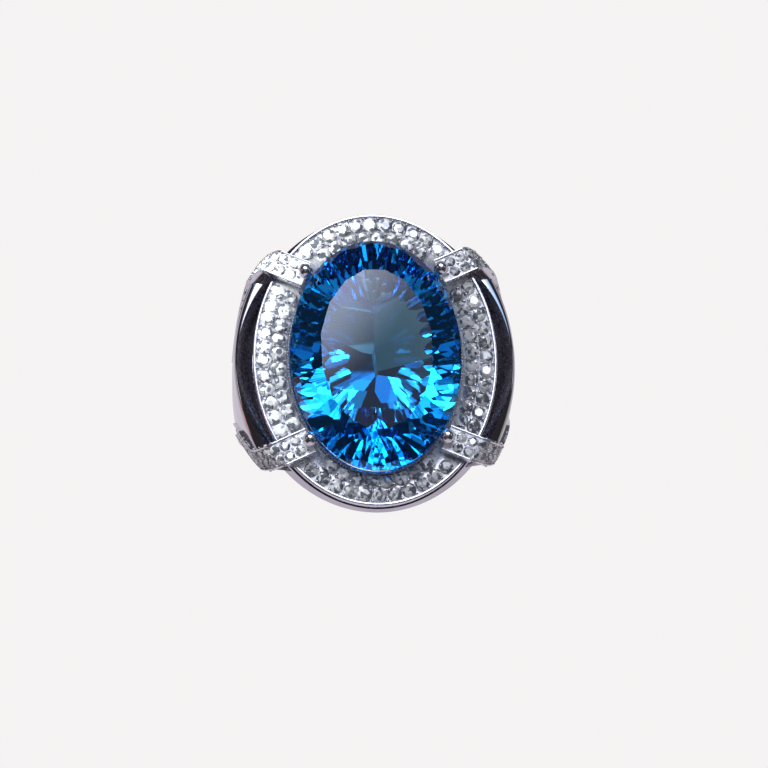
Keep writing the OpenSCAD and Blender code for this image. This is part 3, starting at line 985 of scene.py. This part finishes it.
def build_centre_stone():
    """Oval with a faceted crown, flat facets round the keel and concave cuts between them and the girdle."""
    a, b = STONE_HI.x, STONE_HI.y
    bm = bmesh.new()
    stone_blank(bm, a, b, STONE_LO.z - 1, STONE_HI.z)
    grind_crown(bm, a, b, STONE_HI.z)
    grind_pavilion(bm, a, b)
    bmesh.ops.recalc_face_normals(bm, faces=bm.faces)
    for v in bm.verts:
        v.co *= MM
    mesh = bpy.data.meshes.new("oval_topaz")
    bm.to_mesh(mesh)
    bm.free()
    mesh.materials.append(topaz)
    piece = bpy.data.objects.new("oval_topaz", mesh)
    scene.collection.objects.link(piece)
    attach(piece, "root")
    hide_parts("centre_stone")
    flute_stone(piece, a, b)


def touch_point(a, b, turn, z):
    """Point where an oval's tangent square to a direction touches it."""
    reach = support(a, b, turn)
    return Vector((a * a * math.cos(turn) / reach, b * b * math.sin(turn) / reach, z))


def flute_place(a, b, turn):
    """Placement of one flute's cutter: its length runs down a facet, its Y out of the stone."""
    top, foot = touch_point(a, b, turn, GIRDLE_LO), touch_point(*WAIST, turn, WAIST_Z)
    across = Vector((-math.sin(turn), math.cos(turn), 0))
    normal = across.cross(foot - top).normalized()
    if normal.z > 0:
        normal.negate()
    top += normal * FLUTE_DEPTH
    half = 0.5 * (a + b) * math.pi / FLUTES * 1.1
    place = Matrix((across * half, normal, (foot - top).normalized())).transposed().to_4x4()
    place.translation = top
    return place


def flute_stone(piece, a, b):
    """Cuts the concave flutes, each a shallow hollow of flat strips along one facet."""
    section = [(1.0, 1.0), (-1.0, 1.0)] + [(x, FLUTE_DEPTH * (x * x - 1)) for x in (-1, -0.5, 0, 0.5, 1)]
    n = len(section)
    points = [(x, y, z) for z in (-2.0, 9.0) for x, y in section]
    polygons = [tuple(range(n)), tuple(range(n, 2 * n))]
    polygons += [(i, (i + 1) % n, n + (i + 1) % n, n + i) for i in range(n)]
    turns = [oval_turn(a, b, 2 * math.pi * (i + 0.5) / FLUTES) for i in range(FLUTES)]
    carve(piece, (points, polygons), [flute_place(a, b, turn) for turn in turns], crossing=True)
    for face in piece.data.polygons:
        face.use_smooth = False


build_shank()
for side_name, sign in (("right", 1), ("left", -1)):
    build_shoulder(side_name, sign)
build_gallery()
build_base_rail()
build_halo()
build_milgrain()
build_straps()
build_prongs()
build_basket()
build_centre_stone()

# ---- Floor, light and camera ----


def math_node(tree, operation, a, b, c=0.0):
    """One step of arithmetic. a, b and c are numbers or other nodes' outputs."""
    node = tree.nodes.new("ShaderNodeMath")
    node.operation = operation
    for socket, value in zip(node.inputs, (a, b, c)):
        if isinstance(value, (int, float)):
            socket.default_value = value
        else:
            tree.links.new(value, socket)
    return node.outputs["Value"]


def floor_glow(tree, path):
    """Strength of the floor's own light: none beside the ring, and little for what the stones let through."""
    where = tree.nodes.new("ShaderNodeTexCoord")
    length = tree.nodes.new("ShaderNodeVectorMath")
    length.operation = "DISTANCE"
    length.inputs[1].default_value = (0, 66 * MM, SHANK_LO.z * MM)
    tree.links.new(where.outputs["Object"], length.inputs[0])
    glow = tree.nodes.new("ShaderNodeMapRange")
    glow.interpolation_type = "SMOOTHSTEP"
    glow.inputs["From Min"].default_value = 54 * MM
    glow.inputs["From Max"].default_value = 61 * MM
    glow.inputs["To Min"].default_value = 0.0
    glow.inputs["To Max"].default_value = 0.6
    tree.links.new(length.outputs["Value"], glow.inputs["Value"])
    share = math_node(tree, "MULTIPLY_ADD", path.outputs["Is Transmission Ray"], -0.93, 1.0)
    return math_node(tree, "MULTIPLY", glow.outputs["Result"], share)


def floor_material():
    """Pale to the camera, and a soft mauve reflector to everything else."""
    material, tree, shader = new_material("floor")
    shader.inputs["Base Color"].default_value = (0.07, 0.067, 0.07, 1)
    shader.inputs["Roughness"].default_value = 1.0
    shader.inputs["Specular IOR Level"].default_value = 0.0
    shader.inputs["Emission Color"].default_value = (0.92, 0.86, 0.96, 1)
    path = tree.nodes.new("ShaderNodeLightPath")
    tree.links.new(floor_glow(tree, path), shader.inputs["Emission Strength"])
    pale = tree.nodes.new("ShaderNodeEmission")
    pale.inputs["Color"].default_value = (0.915, 0.896, 0.896, 1)
    mix = tree.nodes.new("ShaderNodeMixShader")
    tree.links.new(path.outputs["Is Camera Ray"], mix.inputs["Fac"])
    tree.links.new(shader.outputs["BSDF"], mix.inputs[1])
    tree.links.new(pale.outputs["Emission"], mix.inputs[2])
    tree.links.new(mix.outputs["Shader"], tree.nodes["Material Output"].inputs["Surface"])
    return material


def build_floor():
    """Flat floor under the shank."""
    size, z = 0.6, SHANK_LO.z * MM
    corners = [(-size, -size, z), (size, -size, z), (size, size, z), (-size, size, z)]
    mesh = bpy.data.meshes.new("floor")
    mesh.from_pydata(corners, [], [(0, 1, 2, 3)])
    mesh.materials.append(floor_material())
    floor = bpy.data.objects.new("floor", mesh)
    scene.collection.objects.link(floor)


def soft_box(tree, towards, azimuth, elevation, size, soft, colour, strength):
    """Light of one soft box: a disc of the sky with a blurred edge."""
    az, el = math.radians(azimuth), math.radians(elevation)
    dot = tree.nodes.new("ShaderNodeVectorMath")
    dot.operation = "DOT_PRODUCT"
    dot.inputs[1].default_value = (math.cos(az) * math.cos(el), math.sin(az) * math.cos(el), math.sin(el))
    tree.links.new(towards, dot.inputs[0])
    edge = tree.nodes.new("ShaderNodeMapRange")
    edge.interpolation_type = "SMOOTHSTEP"
    edge.inputs["From Min"].default_value = math.cos(math.radians(size + soft))
    edge.inputs["From Max"].default_value = math.cos(math.radians(size))
    tree.links.new(dot.outputs["Value"], edge.inputs["Value"])
    lamp = tree.nodes.new("ShaderNodeVectorMath")
    lamp.operation = "SCALE"
    lamp.inputs[0].default_value = [c * strength for c in colour]
    tree.links.new(edge.outputs["Result"], lamp.inputs["Scale"])
    return lamp.outputs["Vector"]


def build_world():
    """Dim room with soft boxes, each a smooth spot of light in one direction."""
    white, sky, blue = (1.0, 1.0, 1.0), (0.72, 0.79, 1.0), (0.35, 0.62, 1.0)
    boxes = [
        # azimuth from +X towards +Y, elevation, half size and softness in degrees, colour, strength
        (95, 55, 16.5, 4.0, sky, 1.9),
        (72, 60, 5, 3, white, 5.0),
        (118, 50, 5, 3, white, 5.0),
        (95, 42, 4, 3, white, 4.0),
        (93, 71, 3.6, 1.6, (0.70, 0.76, 1.0), 5.5),
        (90, 52, 22, 5, (0.85, 0.88, 1.0), 0.5),
        (170, 35, 4, 3, white, 1.5),
        (15, 35, 4, 3, white, 1.5),
        (250, 80, 8, 4, (0.35, 0.60, 1.0), 0.5),
        (54, 52, 8, 5, blue, 1.3),
        (122, 38, 7, 4, blue, 0.9),
        (270, 5, 26, 12, (0.92, 0.84, 0.96), 0.55),
        (184, 10, 5, 3, (1.0, 0.42, 0.36), 1.2),
        (354, 12, 6, 4, (0.42, 0.62, 0.30), 0.8),
    ]
    world = bpy.data.worlds.new("studio")
    scene.world = world
    world.use_nodes = True
    tree = world.node_tree
    where = tree.nodes.new("ShaderNodeTexCoord")
    lights = [soft_box(tree, where.outputs["Generated"], *box) for box in boxes]
    total = lights[0]
    for light in lights[1:]:
        add = tree.nodes.new("ShaderNodeVectorMath")
        tree.links.new(total, add.inputs[0])
        tree.links.new(light, add.inputs[1])
        total = add.outputs["Vector"]
    room = tree.nodes.new("ShaderNodeVectorMath")
    room.inputs[1].default_value = (0.03, 0.028, 0.032)
    tree.links.new(total, room.inputs[0])
    tree.links.new(room.outputs["Vector"], tree.nodes["Background"].inputs["Color"])


def build_lamp(name, place, size, power, colour):
    """Square soft lamp at a place in millimetres, aimed at the head. It isn't mirrored in metal or stone."""
    data = bpy.data.lights.new(name, "AREA")
    data.size = size * MM
    data.energy = power
    data.color = colour
    lamp = bpy.data.objects.new(name, data)
    scene.collection.objects.link(lamp)
    lamp.visible_glossy = False
    lamp.visible_transmission = False
    lamp.location = Vector(place) * MM
    lamp.rotation_euler = (Vector((0, 0, HALO_Z)) - Vector(place)).to_track_quat("-Z", "Y").to_euler()


def build_camera():
    """Camera 75 degrees up on the -Y side, turned a little to the left and rolled by two degrees."""
    tilt, aside, roll, distance, width = math.radians(15), math.radians(3), math.radians(2), 230.0, 58.4
    back = Vector((-math.sin(aside), -math.sin(tilt), math.cos(tilt) * math.cos(aside))).normalized()
    up0 = (Vector((0, 1, 0)) - back * back.y).normalized()
    right0 = up0.cross(back)
    right = right0 * math.cos(roll) - up0 * math.sin(roll)
    up = right0 * math.sin(roll) + up0 * math.cos(roll)
    target = Vector((0, 0, HALO_Z)) + right * 0.66 - up * 1.94
    data = bpy.data.cameras.new("camera")
    data.sensor_width = 36
    data.lens = 36 * distance / width
    data.clip_start, data.clip_end = 0.01, 5
    camera = bpy.data.objects.new("camera", data)
    scene.collection.objects.link(camera)
    turn = Matrix((right, up, back)).transposed().to_4x4()
    turn.translation = (target + back * distance) * MM
    camera.matrix_world = turn
    scene.camera = camera


build_floor()
build_world()
build_lamp("lamp_left", (-17, 11, 27), 8, 0.017, (0.95, 1.0, 1.0))
build_lamp("lamp_top", (12, -4, 62), 30, 0.010, (0.98, 0.97, 1.0))
build_camera()
scene.view_settings.view_transform = "Standard"
scene.cycles.max_bounces = 24
scene.cycles.transmission_bounces = 16
scene.cycles.glossy_bounces = 8
scene.cycles.transparent_max_bounces = 8
